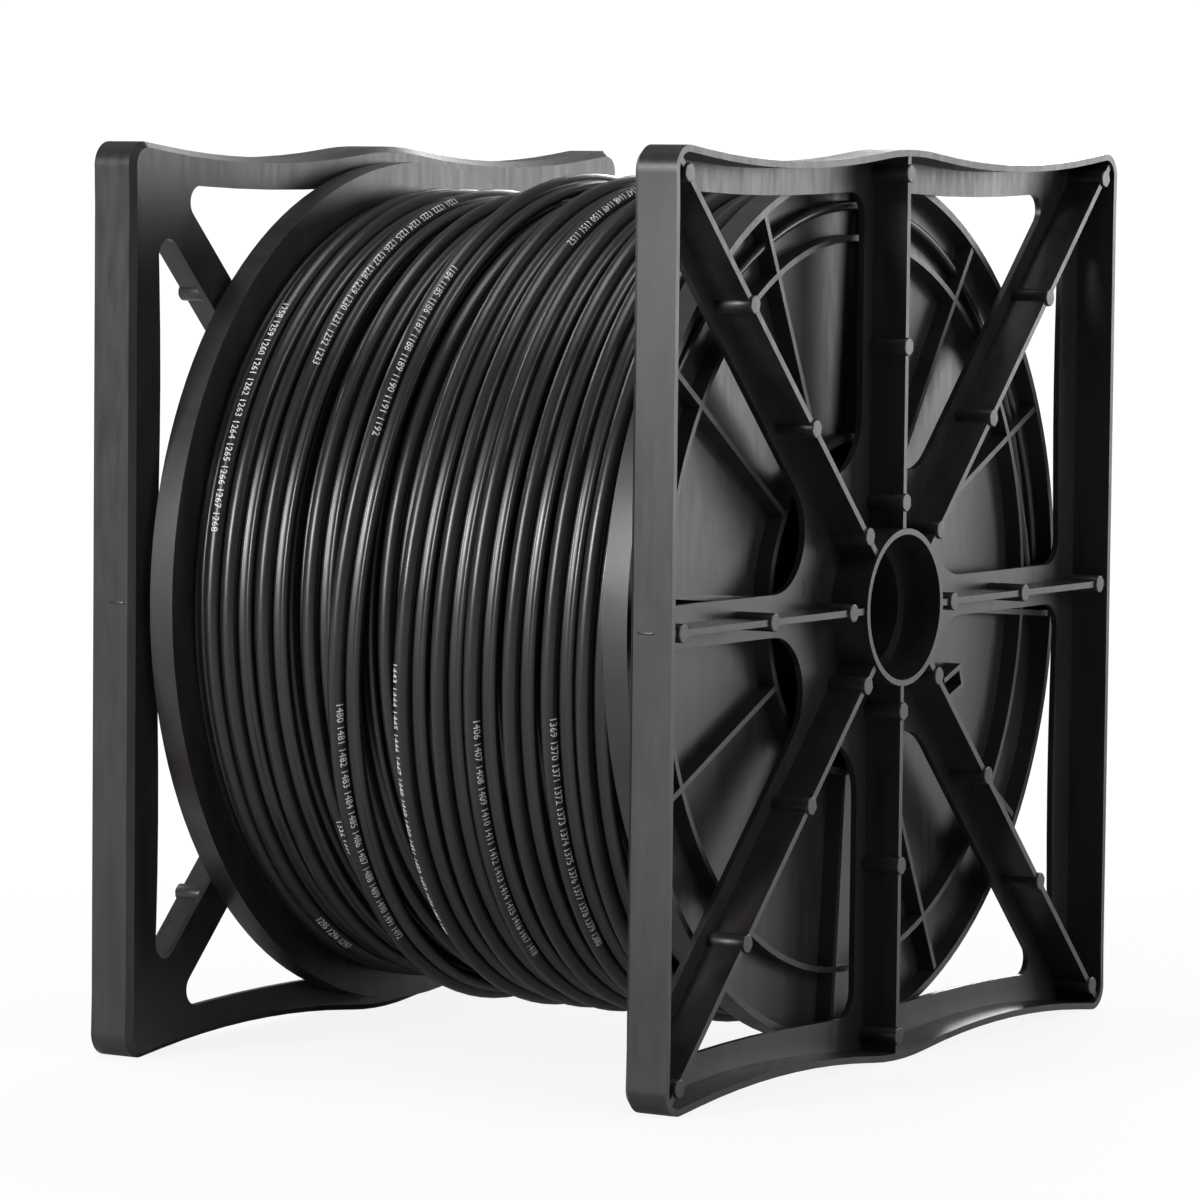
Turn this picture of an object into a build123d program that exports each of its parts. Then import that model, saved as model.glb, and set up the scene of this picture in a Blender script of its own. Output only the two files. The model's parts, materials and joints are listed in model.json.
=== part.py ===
# A reel of siamese coaxial cable: a wound spool that turns between two square stand frames.
# X is the reel's axis, Z is up, and the origin is on the floor under the reel's middle.
import os
from math import cos, radians

from build123d import *

# Driving dimensions, in millimetres
REEL_LENGTH = 224.0
AXIS_HEIGHT = 152.5

# Stand frame: a shallow tray, open outwards, whose four sides are each waved twice
FRAME_DEPTH = 16.0
FRAME_WALL = 2.2
FRAME_WEB = 2.2
CORNER_REACH = 153.62
CORNER_RADIUS = 8.0
DIP_AT = 76.0
DIP_REACH = 144.6
DIP_RADIUS = 480.0
CREST_REACH = 153.54
CREST_RADIUS = 152.0
BACK_CHAMFER = 2.0

# Window between two neighbouring spokes
SPOKE_HALF_WIDTH = 7.0
WINDOW_REACH = 138.6
WINDOW_DIP = 2.4
WINDOW_HUB_RADIUS = 19.5
WINDOW_MID_RADIUS = 9.0
WINDOW_CORNER_RADIUS = 5.5
WINDOW_DIP_RADIUS = 900.0

# Spoke ribs and the round ejector pads along them
RIB_THICKNESS = 2.2
RIB_SET_BACK = 0.8
RIB_START = 25.4
SIDE_RIB_END = 151.2
CORNER_RIB_END = 211.0
PAD_RADIUS = 3.0
PAD_SIDES = 6
PAD_RINGS = (35.0, 87.0, 144.6)
CORNER_PAD_RING = 203.4

# Hub ring on the frame, and the journal on its other side that carries the spool
HUB_OUTER_RADIUS = 26.4
HUB_WALL = 2.0
BORE_RADIUS = 20.0
JOURNAL_RADIUS = 22.4

# Spool half: a ribbed flange, half of the barrel, and half of the sleeve that runs on the journal
SPOOL_REACH = 92.5
FLANGE_RADIUS = 147.0
FLANGE_LIP = 2.5
PLATE_INNER = 83.5
PLATE_OUTER = 86.0
BARREL_RADIUS = 57.5
BARREL_WALL = 2.4
RING_RADIUS = 122.0
FLANGE_RIB = 2.0
FLANGE_RIB_SET_BACK = 0.5
RADIAL_RIBS = 12
RADIAL_RIB_TURN = 25.5
SLEEVE_BORE = 22.7
SLEEVE_WALL = 2.6
SLEEVE_REACH = 95.5
BULKHEAD = 2.5

# Clip on the flange that holds the cable's end
CLIP_AT = (72.5, -31.5)
CLIP_TURN = 20.0
CLIP_LENGTH = 12.0
CLIP_GAP = 7.0
CLIP_WALL = 1.8

# Winding: full layers of flat siamese cable, and one more layer over part of its length. Each
# turn peaks along its coaxial cable and falls away over the thinner power cable beside it.
LOWER_CROWN = 138.0
LAST_CROWN = 143.5
LOWER_TURNS_AT = (-75.4, -68.6, -54.8, -36.2, -6.0)
LAST_TURNS_AT = (-21.0, 4.8, 19.4, 31.4, 46.2, 60.2, 73.8)
COAX_RADIUS = 3.1
POWER_WIDTH = 5.8
POWER_DROP = 3.0
GROOVE_DEPTH = 5.0
BARREL_GAP = 0.3
WINDING_END_GAP = 0.3

# Values that follow from the ones above
FRAME_FACE = REEL_LENGTH / 2
WEB_FACE = FRAME_FACE - FRAME_DEPTH + FRAME_WEB
FRAME_BACK = FRAME_FACE - FRAME_DEPTH
FLANGE_RIB_FACE = SPOOL_REACH - FLANGE_RIB_SET_BACK


def across(x):
    """A plane square to the reel's axis at x, with its own x along +Y and its own y upwards."""
    return Plane(origin=(x, 0, AXIS_HEIGHT), x_dir=(0, 1, 0), z_dir=(1, 0, 0))


def frame_outline():
    """The stand frame's outline: a square with a crest at mid-side and a dip each side of it."""
    corners = []
    rounding = []
    for side in range(4):
        for along, out, radius in (
            (-DIP_AT, DIP_REACH, DIP_RADIUS),
            (0, CREST_REACH, CREST_RADIUS),
            (DIP_AT, DIP_REACH, DIP_RADIUS),
            (CORNER_REACH, CORNER_REACH, CORNER_RADIUS),
        ):
            corners.append(Vector(along, out).rotate(Axis.Z, -90 * side))
            rounding.append(radius)
    FilletPolyline(*corners, radius=rounding, close=True)


def window_outline():
    """One window: from the hub, along the spoke to the rim, and back along the diagonal."""
    half = SPOKE_HALF_WIDTH
    diagonal_gap = half / cos(radians(45))
    mid = (WINDOW_REACH + half) / 2
    FilletPolyline(
        (half + diagonal_gap, half),
        (WINDOW_REACH, half),
        (WINDOW_REACH - WINDOW_DIP, mid),
        (WINDOW_REACH, WINDOW_REACH - diagonal_gap),
        radius=(WINDOW_HUB_RADIUS, WINDOW_MID_RADIUS, WINDOW_DIP_RADIUS, WINDOW_CORNER_RADIUS),
        close=True,
    )


def moulded_frame():
    """The right-hand stand frame, with its half of the hollow journal that carries the spool."""
    with BuildPart() as frame:
        with BuildSketch(across(FRAME_FACE)):
            with BuildLine():
                frame_outline()
            make_face()
        extrude(amount=-FRAME_DEPTH)
        chamfer(frame.faces().sort_by(Axis.X)[0].edges(), BACK_CHAMFER)
        with BuildSketch(across(FRAME_FACE)):
            with BuildLine():
                frame_outline()
            make_face()
            offset(amount=-FRAME_WALL)
        extrude(amount=FRAME_WEB - FRAME_DEPTH, mode=Mode.SUBTRACT)
        with BuildSketch(across(WEB_FACE)):
            with BuildSketch(mode=Mode.PRIVATE) as window:
                with BuildLine():
                    window_outline()
                make_face()
            for quarter in range(4):
                add(window.sketch, rotation=90 * quarter)
                add(mirror(window.sketch, about=Plane.XZ, mode=Mode.PRIVATE), rotation=90 * quarter)
        extrude(amount=-FRAME_WEB, mode=Mode.SUBTRACT)
        with BuildSketch(across(WEB_FACE)):
            for end, start_angle in ((SIDE_RIB_END, 0), (CORNER_RIB_END, 45)):
                with PolarLocations((RIB_START + end) / 2, 4, start_angle=start_angle):
                    Rectangle(end - RIB_START, RIB_THICKNESS)
        extrude(amount=FRAME_FACE - WEB_FACE - RIB_SET_BACK)
        with BuildSketch(across(WEB_FACE)):
            for ring in PAD_RINGS:
                with PolarLocations(ring, 8):
                    RegularPolygon(PAD_RADIUS, PAD_SIDES)
            with PolarLocations(CORNER_PAD_RING, 4, start_angle=45):
                RegularPolygon(PAD_RADIUS, PAD_SIDES)
            Circle(HUB_OUTER_RADIUS)
            Circle(HUB_OUTER_RADIUS - HUB_WALL, mode=Mode.SUBTRACT)
        extrude(amount=FRAME_FACE - WEB_FACE)
        with BuildSketch(across(FRAME_BACK)):
            Circle(JOURNAL_RADIUS)
        extrude(amount=-FRAME_BACK)
        with BuildSketch(across(WEB_FACE)):
            Circle(BORE_RADIUS)
        extrude(amount=-WEB_FACE, mode=Mode.SUBTRACT)
    return frame.part


def moulded_spool_half():
    """The right-hand half of the spool, from the joint at mid-length to its flange."""
    with BuildPart() as half:
        with BuildSketch(across(PLATE_INNER)):
            Circle(FLANGE_RADIUS)
            Circle(BARREL_RADIUS - BARREL_WALL, mode=Mode.SUBTRACT)
        extrude(amount=PLATE_OUTER - PLATE_INNER)
        with BuildSketch(across(PLATE_OUTER)):
            Circle(FLANGE_RADIUS)
            Circle(FLANGE_RADIUS - FLANGE_LIP, mode=Mode.SUBTRACT)
        extrude(amount=SPOOL_REACH - PLATE_OUTER)
        with BuildSketch(across(PLATE_OUTER)):
            Circle(RING_RADIUS + FLANGE_RIB)
            Circle(RING_RADIUS, mode=Mode.SUBTRACT)
            rib_start = BARREL_RADIUS - BARREL_WALL / 2
            rib_end = FLANGE_RADIUS - FLANGE_LIP / 2
            with PolarLocations((rib_start + rib_end) / 2, RADIAL_RIBS, start_angle=RADIAL_RIB_TURN):
                Rectangle(rib_end - rib_start, FLANGE_RIB)
        extrude(amount=FLANGE_RIB_FACE - PLATE_OUTER)
        with BuildSketch(across(0)):
            Circle(BARREL_RADIUS)
            Circle(BARREL_RADIUS - BARREL_WALL, mode=Mode.SUBTRACT)
        extrude(amount=FLANGE_RIB_FACE)
        with BuildSketch(across(0)):
            Circle(BARREL_RADIUS)
            Circle(SLEEVE_BORE, mode=Mode.SUBTRACT)
        extrude(amount=BULKHEAD)
        with BuildSketch(across(0)):
            Circle(SLEEVE_BORE + SLEEVE_WALL)
            Circle(SLEEVE_BORE, mode=Mode.SUBTRACT)
        extrude(amount=SLEEVE_REACH)
        with BuildSketch(across(PLATE_OUTER)):
            with Locations(Location(CLIP_AT, CLIP_TURN)):
                with Locations((0, CLIP_GAP / 2), (0, -CLIP_GAP / 2)):
                    Rectangle(CLIP_LENGTH, CLIP_WALL)
                with Locations((CLIP_LENGTH / 2, 0)):
                    Rectangle(CLIP_WALL, CLIP_GAP + CLIP_WALL)
        extrude(amount=FLANGE_RIB_FACE - PLATE_OUTER)
    return half.part


def winding_outline():
    """The winding in section: its bore, its ends, and a peak and a groove for each turn."""
    end = PLATE_INNER - WINDING_END_GAP
    bore = BARREL_RADIUS + BARREL_GAP
    turns = sorted(
        [(at, LOWER_CROWN) for at in LOWER_TURNS_AT] + [(at, LAST_CROWN) for at in LAST_TURNS_AT]
    )
    points = [(-end, bore), (-end, LOWER_CROWN - GROOVE_DEPTH), turns[0]]
    for (before, before_crown), (at, crown) in zip(turns, turns[1:]):
        groove = at - COAX_RADIUS
        power_edge = before + COAX_RADIUS + POWER_WIDTH
        if groove - power_edge > COAX_RADIUS - 0.2:
            points.append((power_edge, before_crown - POWER_DROP))
        points.append((groove, min(crown, before_crown) - GROOVE_DEPTH))
        points.append((at, crown))
    points.append((end, LAST_CROWN - GROOVE_DEPTH))
    points.append((end, bore))
    Polyline(*points, close=True)


os.makedirs("parts", exist_ok=True)

# Stand frame at the +X end
with BuildPart() as stand_frame_right:
    add(moulded_frame())
stand_frame_right.part.label = "stand_frame_right"
export_step(stand_frame_right.part, "parts/stand_frame_right.step")

# Stand frame at the -X end, the same moulding reversed; the two journals meet at mid-length
with BuildPart() as stand_frame_left:
    add(mirror(moulded_frame(), about=Plane.YZ))
stand_frame_left.part.label = "stand_frame_left"
export_step(stand_frame_left.part, "parts/stand_frame_left.step")

# Spool half at the +X end
with BuildPart() as spool_half_right:
    add(moulded_spool_half())
spool_half_right.part.label = "spool_half_right"
export_step(spool_half_right.part, "parts/spool_half_right.step")

# Spool half at the -X end, the same moulding turned end for end
with BuildPart() as spool_half_left:
    add(moulded_spool_half().rotate(Axis((0, 0, AXIS_HEIGHT), (0, 0, 1)), 180))
spool_half_left.part.label = "spool_half_left"
export_step(spool_half_left.part, "parts/spool_half_left.step")

# The wound cable, one turned solid that fills the spool between its flanges
with BuildPart() as cable_winding:
    with BuildSketch(Plane(origin=(0, 0, AXIS_HEIGHT), x_dir=(1, 0, 0), z_dir=(0, -1, 0))):
        with BuildLine():
            winding_outline()
        make_face()
    revolve(axis=Axis((0, 0, AXIS_HEIGHT), (1, 0, 0)))
cable_winding.part.label = "cable_winding"
export_step(cable_winding.part, "parts/cable_winding.step")
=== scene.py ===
# The looks of a reel of siamese coaxial cable: moulded black plastic frames and spool, and the
# cable wound on it turn by turn. Lengths are in metres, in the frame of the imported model, apart
# from those whose comment says millimetres.
import json
import math

import bmesh
import bpy
from mathutils import Matrix, Vector, noise


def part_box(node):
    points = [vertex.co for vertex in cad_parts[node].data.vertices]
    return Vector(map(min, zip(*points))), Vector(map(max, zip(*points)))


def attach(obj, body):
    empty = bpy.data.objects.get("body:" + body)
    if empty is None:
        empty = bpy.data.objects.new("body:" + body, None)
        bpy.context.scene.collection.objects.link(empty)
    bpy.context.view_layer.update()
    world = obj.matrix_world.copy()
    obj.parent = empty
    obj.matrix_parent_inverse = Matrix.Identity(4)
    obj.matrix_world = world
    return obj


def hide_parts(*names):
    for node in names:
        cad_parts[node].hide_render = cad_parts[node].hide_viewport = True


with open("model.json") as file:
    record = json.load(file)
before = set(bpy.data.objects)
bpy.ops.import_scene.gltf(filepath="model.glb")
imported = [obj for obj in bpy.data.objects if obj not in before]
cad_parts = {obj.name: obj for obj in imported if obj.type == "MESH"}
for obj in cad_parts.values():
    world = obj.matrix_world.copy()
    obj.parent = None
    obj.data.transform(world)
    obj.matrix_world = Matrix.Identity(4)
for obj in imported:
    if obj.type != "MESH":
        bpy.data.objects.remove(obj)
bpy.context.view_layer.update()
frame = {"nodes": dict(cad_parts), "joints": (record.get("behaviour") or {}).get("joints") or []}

MM = 0.001
AXIS_HEIGHT = frame["joints"][0]["pos_m"][2]
REEL_HALF_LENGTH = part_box("stand_frame_right")[1].x
REEL_MIDDLE = (0.0, 0.0, AXIS_HEIGHT)

# How the solids' meshes are cleaned before their sharp edges are rounded
WELD_DISTANCE = 0.002 * MM
FLAT_WITHIN = math.radians(0.5)
SHARP_OVER = math.radians(35)
EDGE_ROUNDING = 0.4 * MM

# The frames' upright sides are straight: where the solid's sides wave, the wall moves out to here
SIDE_REACH = 152.2 * MM
WALL_STARTS = 142.0 * MM
CORNER_STARTS = 141.0 * MM

# The solid's waved side: an arc at the crest, a wide arc through each dip and straight stretches
CREST_REACH = 152.5 * MM
CREST_RADIUS = 152.0 * MM
CREST_HALF_WIDTH = 19.0 * MM
DIP_AT = 76.0 * MM
DIP_REACH = 147.88 * MM
DIP_RADIUS = 480.0 * MM
DIP_HALF_WIDTH = 56.0 * MM

# The round ejector pads on the frames' ribs. The rings they lie on are radii in millimetres
PAD_RADIUS = 3.05 * MM
PAD_ROUNDING = 0.35 * MM
PAD_SIDES = 24
PAD_ROOT = REEL_HALF_LENGTH - 13.9 * MM
PAD_TOP = REEL_HALF_LENGTH - 0.03 * MM
PAD_RINGS = (35.0, 87.0, 144.6)
CORNER_PAD_RING = 203.4

# The small moulded bar at mid-height of each upright side
SIDE_MARK_SIZE = (6.0 * MM, 0.7 * MM, 0.8 * MM)
SIDE_MARK_INSET = 9.5 * MM
SIDE_MARK_SUNK = 0.1 * MM
SIDE_MARK_ROUNDING = 0.2 * MM

# The photograph's viewpoint
CAMERA_PLACE = (1.0197, -1.6698, 0.2914)
CAMERA_TILT = 85.854
CAMERA_ROLL = -0.607
CAMERA_TURN = 31.655
LENS_MM = 170.76
SENSOR_MM = 36.0

# Siamese cable: a round coaxial cable with a flat two-core power cable along its side
COAX_RADIUS = 3.05 * MM
POWER_HALF_WIDTH = 2.9 * MM
CORE_RADIUS = 1.65 * MM
CORE_SPREAD = 1.25 * MM
POWER_DROP = 1.2 * MM
POWER_OFFSET = COAX_RADIUS + POWER_HALF_WIDTH - 0.1 * MM
STEPS_PER_TURN = 108
COAX_SIDES = 16
POWER_SIDES = 20

# The three layers' outer radii, and where their turns lie along the axis at the front of the
# reel, in millimetres. A turn steps along between two shares of its way round, behind the reel
BURIED_CROWN = 132.4 * MM
LOWER_CROWN = 138.0 * MM
LAST_CROWN = 143.6 * MM
TRAVERSE_STARTS = 0.32
TRAVERSE_ENDS = 0.68
BURIED_START = -76.0
TURN_PITCH = 13.9
BURIED_TURNS = tuple(BURIED_START + TURN_PITCH * turn for turn in range(12))
LOWER_TURNS = (-75.4, -68.6, -54.8, -36.2, -20.5, -6.0, 8.0, 22.0, 36.0, 49.8, 62.6, 74.0)
LAST_TURNS = (-21.0, 4.8, 19.4, 31.4, 46.2, 60.2, 73.8)

# How unevenly the cable lies, along the axis in millimetres and outwards, and how often that
# changes in one turn. The last layer starts in the one below and climbs in a share of a turn
WANDER_ALONG = 1.0
WANDERS_ALONG = 2.3
WANDER_OUT = 0.45 * MM
WANDERS_OUT = 3.1
CLIMB_SHARE = 0.16
CLIMB_DEPTH = 6.2 * MM

# The figures along the cable: a row has groups of four figures and a space
FIGURE_SIZE = 3.5 * MM
FIGURE_MIDDLE = 1.25 * MM
FIGURE_PITCH = 2.0 * MM
FIGURES_TO_GROUP = 5
FIGURE_HALF_DEPTH = 0.02 * MM
FIGURE_LIFT = 0.04 * MM
FIGURE_CUTS = 7
FIGURE_CUT_PITCH = 0.32 * MM
FIRST_ROW_STARTS = 1480
FIGURES_BETWEEN_ROWS = 37

# The white that the camera sees: how strong it is, and how far from the reel it closes in
WHITE_STRENGTH = 1.05
WHITE_STARTS = 0.35
WHITE_CLOSES = 1.0
FLOOR_WHITE = 0.84
FLOOR_HALF_SIZE = 6.0
WORLD_STRENGTH = 0.2


def material(name):
    """A new material, with its tree and its shader."""
    made = bpy.data.materials.new(name)
    made.use_nodes = True
    return made, made.node_tree, made.node_tree.nodes["Principled BSDF"]


def add_node(tree, kind, **settings):
    """One node, with its attributes and, by name, the values of its sockets."""
    node = tree.nodes.new(kind)
    for key, value in settings.items():
        if hasattr(node, key):
            setattr(node, key, value)
        else:
            node.inputs[key.replace("_", " ")].default_value = value
    return node


def grained(tree, coordinates, scale, stretch, low, high, detail=4.0):
    """Stretched noise that runs between two values."""
    mapping = add_node(tree, "ShaderNodeMapping")
    mapping.inputs["Scale"].default_value = stretch
    pattern = add_node(tree, "ShaderNodeTexNoise", Scale=scale, Detail=detail)
    spread = add_node(tree, "ShaderNodeMapRange", From_Min=0.3, From_Max=0.7, To_Min=low, To_Max=high)
    tree.links.new(coordinates, mapping.inputs["Vector"])
    tree.links.new(mapping.outputs["Vector"], pattern.inputs["Vector"])
    tree.links.new(pattern.outputs["Fac"], spread.inputs["Value"])
    return spread.outputs["Result"]


def moulded_plastic(name, dark, light, streak):
    """Black moulded plastic with draw streaks, a fine grain and cloudy sheen."""
    made, tree, shader = material(name)
    place = add_node(tree, "ShaderNodeTexCoord").outputs["Object"]
    sheen = grained(tree, place, 60.0, streak, 0.28, 0.38)
    scuffs = grained(tree, place, 9.0, (1, 1, 1), -0.05, 0.07, 6.0)
    total = add_node(tree, "ShaderNodeMath", operation="ADD")
    tree.links.new(sheen, total.inputs[0])
    tree.links.new(scuffs, total.inputs[1])
    tree.links.new(total.outputs["Value"], shader.inputs["Roughness"])
    cloud = grained(tree, place, 25.0, streak, 0.0, 1.0)
    tint = add_node(tree, "ShaderNodeMix", data_type="RGBA")
    tint.inputs["A"].default_value = (*dark, 1.0)
    tint.inputs["B"].default_value = (*light, 1.0)
    tree.links.new(cloud, tint.inputs["Factor"])
    tree.links.new(tint.outputs["Result"], shader.inputs["Base Color"])
    shader.inputs["Specular IOR Level"].default_value = 0.5
    grain = add_node(tree, "ShaderNodeTexNoise", Scale=1800.0, Detail=2.0)
    tree.links.new(place, grain.inputs["Vector"])
    bump = add_node(tree, "ShaderNodeBump", Strength=0.12, Distance=0.00005)
    tree.links.new(grain.outputs["Fac"], bump.inputs["Height"])
    tree.links.new(bump.outputs["Normal"], shader.inputs["Normal"])
    return made


def cable_jacket():
    """Smooth black jacket: even gloss along the cable, with faint ripples from its extrusion."""
    made, tree, shader = material("cable_jacket_black")
    place = add_node(tree, "ShaderNodeTexCoord").outputs["UV"]
    gloss = grained(tree, place, 1.0, (40.0, 700.0, 1.0), 0.24, 0.40)
    tree.links.new(gloss, shader.inputs["Roughness"])
    shader.inputs["Base Color"].default_value = (0.0105, 0.0092, 0.0086, 1.0)
    shader.inputs["Specular IOR Level"].default_value = 0.55
    mapping = add_node(tree, "ShaderNodeMapping")
    mapping.inputs["Scale"].default_value = (60.0, 500.0, 1.0)
    ripple = add_node(tree, "ShaderNodeTexNoise", Scale=1.0, Detail=3.0)
    bump = add_node(tree, "ShaderNodeBump", Strength=0.25, Distance=0.0001)
    tree.links.new(place, mapping.inputs["Vector"])
    tree.links.new(mapping.outputs["Vector"], ripple.inputs["Vector"])
    tree.links.new(ripple.outputs["Fac"], bump.inputs["Height"])
    tree.links.new(bump.outputs["Normal"], shader.inputs["Normal"])
    return made


def marking_ink():
    """White ink of the length figures, a little worn and uneven."""
    made, tree, shader = material("marking_ink_white")
    place = add_node(tree, "ShaderNodeTexCoord").outputs["Object"]
    gloss = grained(tree, place, 900.0, (1, 1, 1), 0.35, 0.7)
    tree.links.new(gloss, shader.inputs["Roughness"])
    wear = grained(tree, place, 700.0, (1, 1, 1), 0.0, 1.0)
    tint = add_node(tree, "ShaderNodeMix", data_type="RGBA")
    tint.inputs["A"].default_value = (0.42, 0.45, 0.50, 1.0)
    tint.inputs["B"].default_value = (0.80, 0.84, 0.90, 1.0)
    tree.links.new(wear, tint.inputs["Factor"])
    tree.links.new(tint.outputs["Result"], shader.inputs["Base Color"])
    return made


def linked(name, bm, finish):
    """The finished mesh as a smooth-shaded object of one material."""
    data = bpy.data.meshes.new(name)
    bm.to_mesh(data)
    bm.free()
    data.materials.append(finish)
    data.shade_smooth()
    thing = bpy.data.objects.new(name, data)
    bpy.context.scene.collection.objects.link(thing)
    return thing


def between(values, at):
    """A smooth curve through evenly spaced values, carried on straight past its ends."""
    last = len(values) - 1
    index = min(max(math.floor(at), 0), last - 1)
    part = at - index
    if at <= 0 or at >= last:
        return values[index] + (values[index + 1] - values[index]) * part
    before = values[max(index - 1, 0)]
    after = values[min(index + 2, last)]
    start, end = values[index], values[index + 1]
    slope_in = (end - before) / 2
    slope_out = (after - start) / 2
    return (
        (2 * part**3 - 3 * part**2 + 1) * start
        + (part**3 - 2 * part**2 + part) * slope_in
        + (3 * part**2 - 2 * part**3) * end
        + (part**3 - part**2) * slope_out
    )


class Layer:
    """One layer of the winding: the place of its cable's middle for any count of turns.

    Turns lie side by side round most of the drum, step along behind it, and lean: they
    swing one way under the drum and the other way over it.
    """

    def __init__(self, crown, turns, seed, flipped=-9.0, starts_on_top=False, lean=(0.0, 0.0, 0.0)):
        self.crown = crown
        self.turns = turns
        self.seed = seed
        self.flipped = flipped
        self.starts_on_top = starts_on_top
        self.lean_below, self.lean_over_left, self.lean_over_right = lean
        self.first = -0.5
        self.last = len(turns) - 0.5

    def along(self, turn):
        """Where the coax's middle lies along the axis."""
        whole = math.floor(turn)
        step = (turn - whole - TRAVERSE_STARTS) / (TRAVERSE_ENDS - TRAVERSE_STARTS)
        step = min(max(step, 0.0), 1.0)
        level = between(self.turns, whole + step * step * (3 - 2 * step))
        across = (level - self.turns[0]) / (self.turns[-1] - self.turns[0])
        over = self.lean_over_left + (self.lean_over_right - self.lean_over_left) * across
        height = math.sin(turn * math.tau)
        lean = self.lean_below + (over - self.lean_below) * (0.5 + 0.5 * height)
        wander = noise.noise(Vector((turn * WANDERS_ALONG, self.seed, 0.0))) * WANDER_ALONG
        return (level + lean * height + wander) * MM

    def centre_radius(self, turn):
        """How far the coax's middle lies from the axis."""
        wander = noise.noise(Vector((turn * WANDERS_OUT, self.seed, 7.0))) * WANDER_OUT
        sunk = 0.0
        if self.starts_on_top:
            sunk = min(max(1 - (turn - self.first) / CLIMB_SHARE, 0.0), 1.0)
        return self.crown - COAX_RADIUS + wander - sunk * CLIMB_DEPTH

    def side(self, turn):
        """Which side of the coax the power cable is on: +1 towards +X, -1 where it is flipped."""
        return -1.0 if turn < self.flipped else 1.0


def on_drum(along, radius, turn):
    """A point of the winding: turns are counted upwards over the front of the reel."""
    angle = turn * math.tau
    return Vector((along, -radius * math.cos(angle), AXIS_HEIGHT + radius * math.sin(angle)))


def coax_section(angle):
    """Offsets across and outwards of a point on the coaxial cable's round jacket."""
    return math.sin(angle) * COAX_RADIUS, math.cos(angle) * COAX_RADIUS


def power_section(angle):
    """The same for the power cable: two cores under one thin jacket, pinched between them."""
    wide = math.sin(angle) * POWER_HALF_WIDTH
    to_core = min(abs(abs(wide) - CORE_SPREAD), CORE_RADIUS)
    high = math.sqrt(CORE_RADIUS**2 - to_core**2)
    return wide, math.copysign(high, math.cos(angle))


def wind(bm, layer, sides, section, offset, drop):
    """Rolls a grid into one of the cable's two parts, lays its turns and closes its ends."""
    steps = round((layer.last - layer.first) * STEPS_PER_TURN)
    uv = bm.loops.layers.uv.verify()
    made = bmesh.ops.create_grid(bm, x_segments=sides, y_segments=steps, size=0.5, calc_uvs=False)
    faces = {face for vert in made["verts"] for face in vert.link_faces}
    for face in faces:
        for loop in face.loops:
            flat = loop.vert.co
            loop[uv].uv = ((flat.y + 0.5) * steps / STEPS_PER_TURN * math.tau * layer.crown,
                           (flat.x + 0.5) * math.tau * COAX_RADIUS)
    rims = [[], []]
    for vert in made["verts"]:
        part = vert.co.y + 0.5
        if part < 0.5 / steps or part > 1 - 0.5 / steps:
            rims[part > 0.5].append(vert)
        turn = layer.first + part * (layer.last - layer.first)
        wide, high = section((vert.co.x + 0.5) * math.tau)
        shift = offset * layer.side(turn) + wide
        vert.co = on_drum(layer.along(turn) + shift, layer.centre_radius(turn) - drop + high, turn)
    for rim in rims:
        edges = {edge for vert in rim for edge in vert.link_edges if edge.other_vert(vert) in rim}
        bmesh.ops.contextual_create(bm, geom=list(edges))
    bmesh.ops.remove_doubles(bm, verts=made["verts"], dist=0.000001)


def wound_layer(name, layer, finish):
    """The piece of cable that makes one layer of the winding."""
    bm = bmesh.new()
    wind(bm, layer, COAX_SIDES, coax_section, 0.0, 0.0)
    wind(bm, layer, POWER_SIDES, power_section, POWER_OFFSET, POWER_DROP)
    bmesh.ops.recalc_face_normals(bm, faces=bm.faces)
    piece = linked(name, bm, finish)
    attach(piece, "spool")
    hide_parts("cable_winding")


def length_figures(name, layer, turn, start, end, lift, first_figure, finish):
    """A row of plain figures along one turn's coaxial cable, from one angle down to another.

    The lift turns the row round the coax, away from its outermost line.
    """
    radius = layer.crown
    length = abs(start - end) / 360 * math.tau * radius
    count = int(length / FIGURE_PITCH / FIGURES_TO_GROUP)
    text = bpy.data.curves.new(name, "FONT")
    text.body = " ".join(f"{first_figure + group:04d}" for group in range(count))
    text.size = FIGURE_SIZE
    text.resolution_u = 2
    text.extrude = FIGURE_HALF_DEPTH
    writing = bpy.data.objects.new(name, text)
    bpy.context.scene.collection.objects.link(writing)
    bpy.context.view_layer.update()
    flat = bpy.data.meshes.new_from_object(writing)
    bpy.data.objects.remove(writing)
    bm = bmesh.new()
    bm.from_mesh(flat)
    bmesh.ops.remove_doubles(bm, verts=bm.verts, dist=0.001 * MM)
    for cut in range(1, FIGURE_CUTS + 1):
        everything = [*bm.verts, *bm.edges, *bm.faces]
        height = (0, cut * FIGURE_CUT_PITCH, 0)
        bmesh.ops.bisect_plane(bm, geom=everything, plane_co=height, plane_no=(0, 1, 0))
    for vert in bm.verts:
        here = turn + start / 360 - vert.co.x / (math.tau * radius)
        round_it = math.radians(lift) + (vert.co.y - FIGURE_MIDDLE) / COAX_RADIUS
        out = COAX_RADIUS + FIGURE_LIFT + vert.co.z
        along = layer.along(here) + out * math.sin(round_it)
        vert.co = on_drum(along, layer.centre_radius(here) + out * math.cos(round_it), here)
    bmesh.ops.recalc_face_normals(bm, faces=bm.faces)
    piece = linked(name, bm, finish)
    piece.data.shade_flat()
    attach(piece, "spool")


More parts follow.
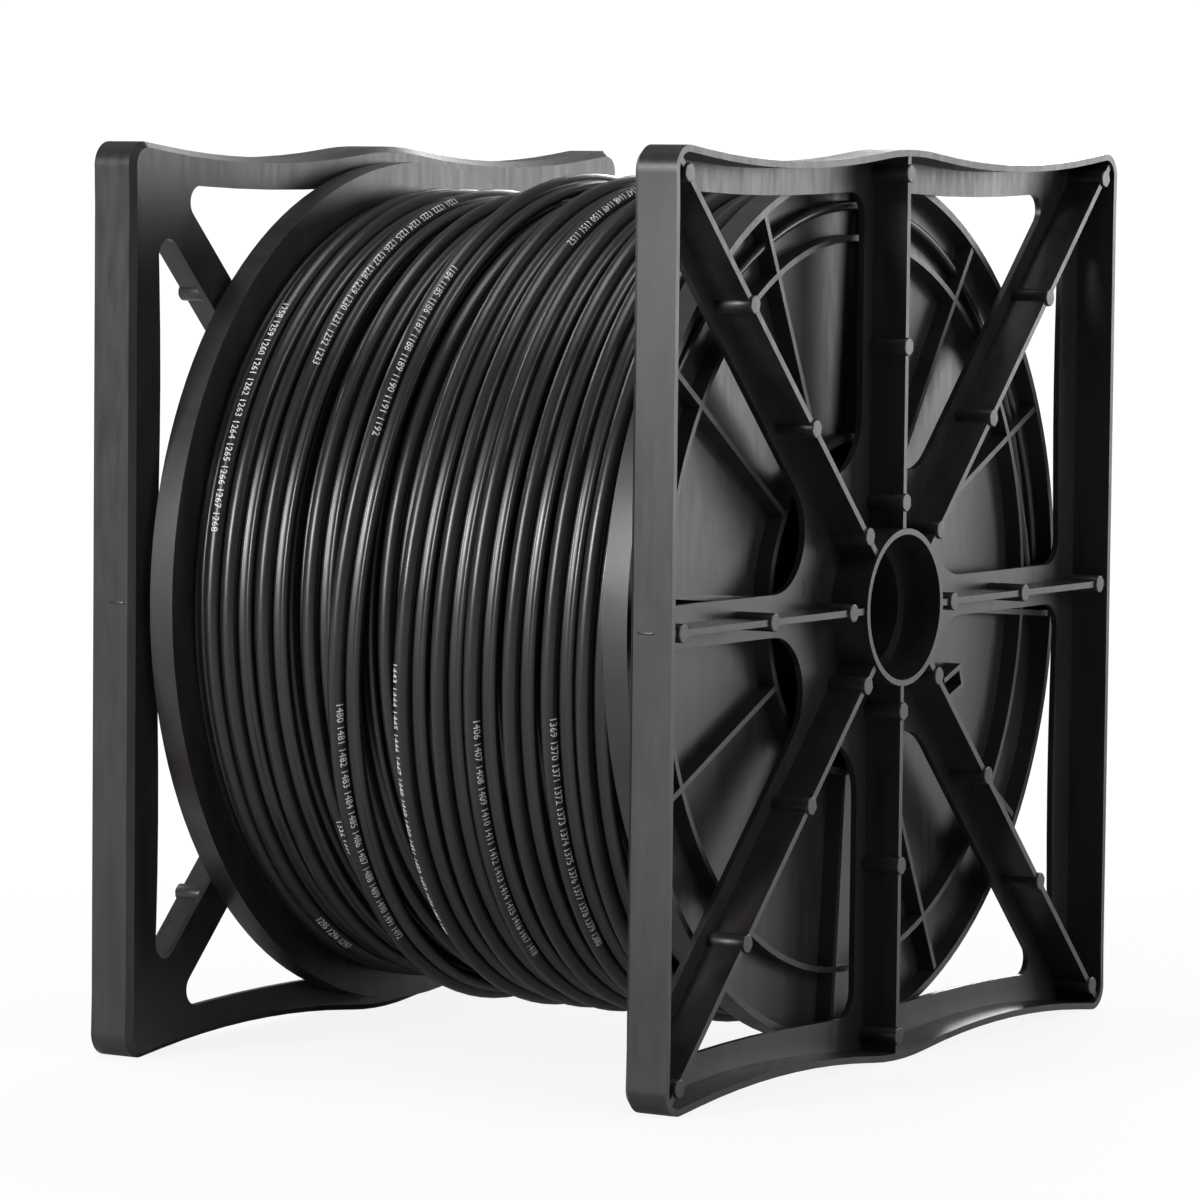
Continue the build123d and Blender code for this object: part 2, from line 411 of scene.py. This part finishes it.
def waved_reach(height):
    """How far out the solid's waved side lies at a height above or below its middle."""
    height = abs(height)
    if height < CREST_HALF_WIDTH:
        return CREST_REACH - CREST_RADIUS + math.sqrt(CREST_RADIUS**2 - height**2)
    from_dip = height - DIP_AT
    near = min(abs(from_dip), DIP_HALF_WIDTH)
    reach = DIP_REACH + DIP_RADIUS - math.sqrt(DIP_RADIUS**2 - near**2)
    return reach + (abs(from_dip) - near) * near / DIP_RADIUS


def straighten_sides(bm):
    """Moves the walls of a stand frame's upright sides out, so that they are straight."""
    for vert in bm.verts:
        height = vert.co.z - AXIS_HEIGHT
        if abs(vert.co.y) > WALL_STARTS and abs(height) < CORNER_STARTS:
            moved = abs(vert.co.y) + SIDE_REACH - waved_reach(height)
            vert.co.y = math.copysign(min(moved, SIDE_REACH), vert.co.y)


def softened(node, body, finish):
    """A moulded node with its sharp edges rounded, as a piece that stands for it."""
    bm = bmesh.new()
    bm.from_mesh(frame["nodes"][node].data)
    bmesh.ops.remove_doubles(bm, verts=bm.verts, dist=WELD_DISTANCE)
    bmesh.ops.dissolve_limit(bm, angle_limit=FLAT_WITHIN, verts=bm.verts, edges=bm.edges)
    if body == "stand":
        straighten_sides(bm)
    sharp = [
        edge for edge in bm.edges
        if edge.is_manifold and edge.calc_face_angle() > SHARP_OVER
    ]
    bmesh.ops.bevel(
        bm, geom=sharp, offset=EDGE_ROUNDING, offset_type="OFFSET", segments=2, profile=0.5,
        affect="EDGES", clamp_overlap=True,
    )
    piece = linked(node + "_moulding", bm, finish)
    piece.data.set_sharp_from_angle(angle=math.radians(50))
    level = piece.modifiers.new("level_faces", "WEIGHTED_NORMAL")
    level.keep_sharp = True
    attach(piece, body)
    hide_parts(node)


def add_pad(bm, middle):
    """One round ejector pad that lies along the axis, with rounded rims."""
    lying = Matrix.Translation(middle) @ Matrix.Rotation(math.radians(90), 4, "Y")
    made = bmesh.ops.create_cone(
        bm, cap_ends=True, segments=PAD_SIDES, radius1=PAD_RADIUS, radius2=PAD_RADIUS,
        depth=PAD_TOP - PAD_ROOT, matrix=lying,
    )
    rims = {edge for vert in made["verts"] for edge in vert.link_edges if len(edge.link_faces) == 2}
    rims = [edge for edge in rims if edge.calc_face_angle() > math.radians(60)]
    bmesh.ops.bevel(bm, geom=rims, offset=PAD_ROUNDING, segments=2, profile=0.5, affect="EDGES")


def add_side_mark(bm, place):
    """One small rounded bar that stands out of a frame's upright side."""
    size = Matrix.Diagonal((*SIDE_MARK_SIZE, 1.0))
    bar = bmesh.ops.create_cube(bm, size=1.0, matrix=Matrix.Translation(place) @ size)
    edges = list({edge for vert in bar["verts"] for edge in vert.link_edges})
    bmesh.ops.bevel(bm, geom=edges, offset=SIDE_MARK_ROUNDING, segments=2, profile=0.5, affect="EDGES")


def ejector_pads(name, side, finish):
    """The pads where pins pushed a frame out of its mould, and the marks on its upright sides."""
    bm = bmesh.new()
    spots = [(ring, 45 * place) for ring in PAD_RINGS for place in range(8)]
    spots += [(CORNER_PAD_RING, 45 + 90 * place) for place in range(4)]
    for ring, angle in spots:
        turned = math.radians(angle)
        middle = Vector((
            side * (PAD_ROOT + PAD_TOP) / 2,
            ring * MM * math.cos(turned),
            AXIS_HEIGHT + ring * MM * math.sin(turned),
        ))
        add_pad(bm, middle)
    for across in (-1, 1):
        along = side * (REEL_HALF_LENGTH - SIDE_MARK_INSET)
        add_side_mark(bm, (along, across * (SIDE_REACH - SIDE_MARK_SUNK), AXIS_HEIGHT))
    piece = linked(name, bm, finish)
    piece.data.set_sharp_from_angle(angle=math.radians(32))
    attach(piece, "stand")


def camera():
    """The photograph's viewpoint, as solved from the near frame."""
    made = bpy.data.cameras.new("camera")
    made.lens = LENS_MM
    made.sensor_width = SENSOR_MM
    made.clip_end = 50
    place = bpy.data.objects.new("camera", made)
    place.location = CAMERA_PLACE
    place.rotation_euler = [math.radians(a) for a in (CAMERA_TILT, CAMERA_ROLL, CAMERA_TURN)]
    bpy.context.scene.collection.objects.link(place)
    bpy.context.scene.camera = place


def lamp(name, place, size, power):
    """A rectangular soft lamp that looks at the middle of the reel."""
    made = bpy.data.lights.new(name, "AREA")
    made.shape = "RECTANGLE"
    made.size, made.size_y = size
    made.energy = power
    thing = bpy.data.objects.new(name, made)
    thing.location = place
    thing.rotation_euler = (Vector(place) - Vector(REEL_MIDDLE)).to_track_quat("Z", "Y").to_euler()
    bpy.context.scene.collection.objects.link(thing)


def seen_white(tree, shade, near, far):
    """Mixes plain white into what the camera sees, by a share that grows away from the object."""
    rays = add_node(tree, "ShaderNodeLightPath")
    place = add_node(tree, "ShaderNodeTexCoord").outputs["Object"]
    away = add_node(tree, "ShaderNodeVectorMath", operation="LENGTH")
    amount = add_node(
        tree, "ShaderNodeMapRange",
        From_Min=WHITE_STARTS, From_Max=WHITE_CLOSES, To_Min=near, To_Max=far,
    )
    white = add_node(tree, "ShaderNodeEmission", Strength=WHITE_STRENGTH)
    share = add_node(tree, "ShaderNodeMath", operation="MULTIPLY")
    mix = add_node(tree, "ShaderNodeMixShader")
    tree.links.new(place, away.inputs[0])
    tree.links.new(away.outputs["Value"], amount.inputs["Value"])
    tree.links.new(rays.outputs["Is Camera Ray"], share.inputs[0])
    tree.links.new(amount.outputs["Result"], share.inputs[1])
    tree.links.new(share.outputs["Value"], mix.inputs["Fac"])
    tree.links.new(shade, mix.inputs[1])
    tree.links.new(white.outputs["Emission"], mix.inputs[2])
    return mix.outputs["Shader"]


def studio():
    """A pale floor, a white surround and plain soft lamps."""
    world = bpy.data.worlds.new("studio")
    bpy.context.scene.world = world
    world.use_nodes = True
    tree = world.node_tree
    plain = tree.nodes["Background"]
    plain.inputs["Color"].default_value = (1, 1, 1, 1)
    plain.inputs["Strength"].default_value = WORLD_STRENGTH
    shader = seen_white(tree, plain.outputs["Background"], 1.0, 1.0)
    tree.links.new(shader, tree.nodes["World Output"].inputs["Surface"])

    bm = bmesh.new()
    bmesh.ops.create_grid(bm, x_segments=1, y_segments=1, size=FLOOR_HALF_SIZE)
    made, tree, shader = material("studio_floor")
    shader.inputs["Base Color"].default_value = (0.55, 0.55, 0.55, 1.0)
    shader.inputs["Roughness"].default_value = 0.9
    out = seen_white(tree, shader.outputs["BSDF"], FLOOR_WHITE, 1.0)
    tree.links.new(out, tree.nodes["Material Output"].inputs["Surface"])
    linked("floor", bm, made)

    lamp("key", (-0.84, -2.56, 0.9), (0.66, 1.1), 66)
    lamp("top", (0.0, -0.2, 2.2), (1.2, 0.9), 15)
    lamp("right", (1.7, 2.5, 0.5), (1.8, 0.9), 24)
    lamp("end", (2.6, 0.0, 1.3), (1.4, 1.2), 25)
    lamp("far_end", (-2.7, 0.5, 1.1), (1.2, 1.4), 34)
    lamp("behind", (-0.7, 2.7, 1.1), (1.2, 1.0), 44)


frame_plastic = moulded_plastic(
    "frame_plastic_black", dark=(0.0118, 0.0102, 0.0093), light=(0.0228, 0.0200, 0.0184),
    streak=(6, 6, 1),
)
spool_plastic = moulded_plastic(
    "spool_plastic_black", dark=(0.0145, 0.0126, 0.0116), light=(0.028, 0.0248, 0.0230),
    streak=(1, 6, 1),
)
jacket = cable_jacket()
ink = marking_ink()

softened("stand_frame_right", "stand", frame_plastic)
softened("stand_frame_left", "stand", frame_plastic)
softened("spool_half_right", "spool", spool_plastic)
softened("spool_half_left", "spool", spool_plastic)
ejector_pads("ejector_pads_right", 1, frame_plastic)
ejector_pads("ejector_pads_left", -1, frame_plastic)

buried = Layer(BURIED_CROWN, BURIED_TURNS, 11.0)
lower = Layer(LOWER_CROWN, LOWER_TURNS, 23.0, flipped=0.5, lean=(2.0, 2.0, 9.0))
outer = Layer(LAST_CROWN, LAST_TURNS, 37.0, starts_on_top=True, lean=(19.0, 8.0, 0.0))
wound_layer("cable_layer_buried", buried, jacket)
wound_layer("cable_layer_lower", lower, jacket)
wound_layer("cable_layer_last", outer, jacket)

# Each row of figures: its layer and turn, the angles in degrees between which it runs over the
# front of the reel, and its lift in degrees
figure_rows = (
    (outer, 0, -12, -66, 55),
    (outer, 1, -6, -64, -30),
    (outer, 3, -13, -66, 58),
    (outer, 5, -12, -60, 55),
    (lower, 3, -31, -43, 25),
    (lower, 1, -53, -68, 40),
    (lower, 0, 46, -2, 10),
    (lower, 2, 78, 21, 45),
    (outer, 0, 52, 14, 50),
    (outer, 2, 76, 51, 45),
)
for row, (layer, turn, start, end, lift) in enumerate(figure_rows):
    name = f"length_figures_{row + 1}"
    first_figure = FIRST_ROW_STARTS - FIGURES_BETWEEN_ROWS * row
    length_figures(name, layer, turn, start, end, lift, first_figure, ink)

camera()
studio()
bpy.context.scene.view_settings.view_transform = "Standard"
